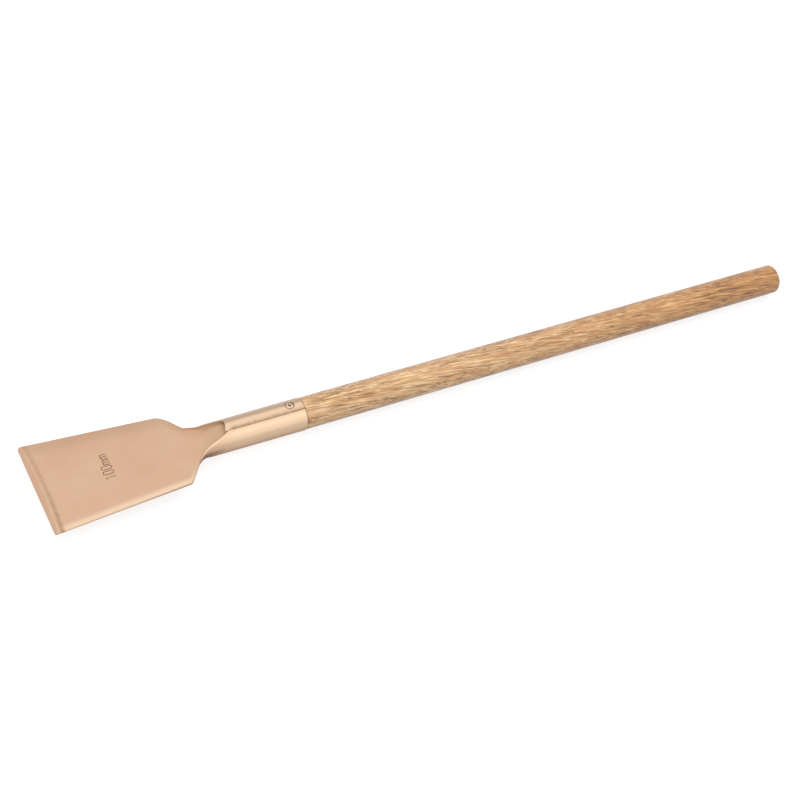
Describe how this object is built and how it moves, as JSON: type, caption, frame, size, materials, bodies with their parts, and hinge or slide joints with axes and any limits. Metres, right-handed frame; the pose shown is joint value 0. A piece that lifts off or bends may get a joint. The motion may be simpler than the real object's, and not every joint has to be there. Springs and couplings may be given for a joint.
{
  "type": "long-handled scraper",
  "caption": "Flat scraper with a wide straight-edged copper-alloy blade forged in one with a rolled socket, screwed to a long straight wooden handle",
  "frame": {"origin": "under the middle of the tool: midway between the working edge and the handle's end, on the blade's centre line, at the level of the socket's lowest point", "axes": "+X runs from the working edge to the end of the handle, +Y across the blade, +Z out of the blade's upper face"},
  "size_m": [0.8, 0.0996, 0.031],
  "materials": {
    "bronze": "satin",
    "wood": "sanded, clear coated",
    "screw_brass": "satin"
  },
  "bodies": {
    "root": {"scraper_head": "bronze", "handle": "wood", "screw": "screw_brass"}
  },
  "joints": []
}
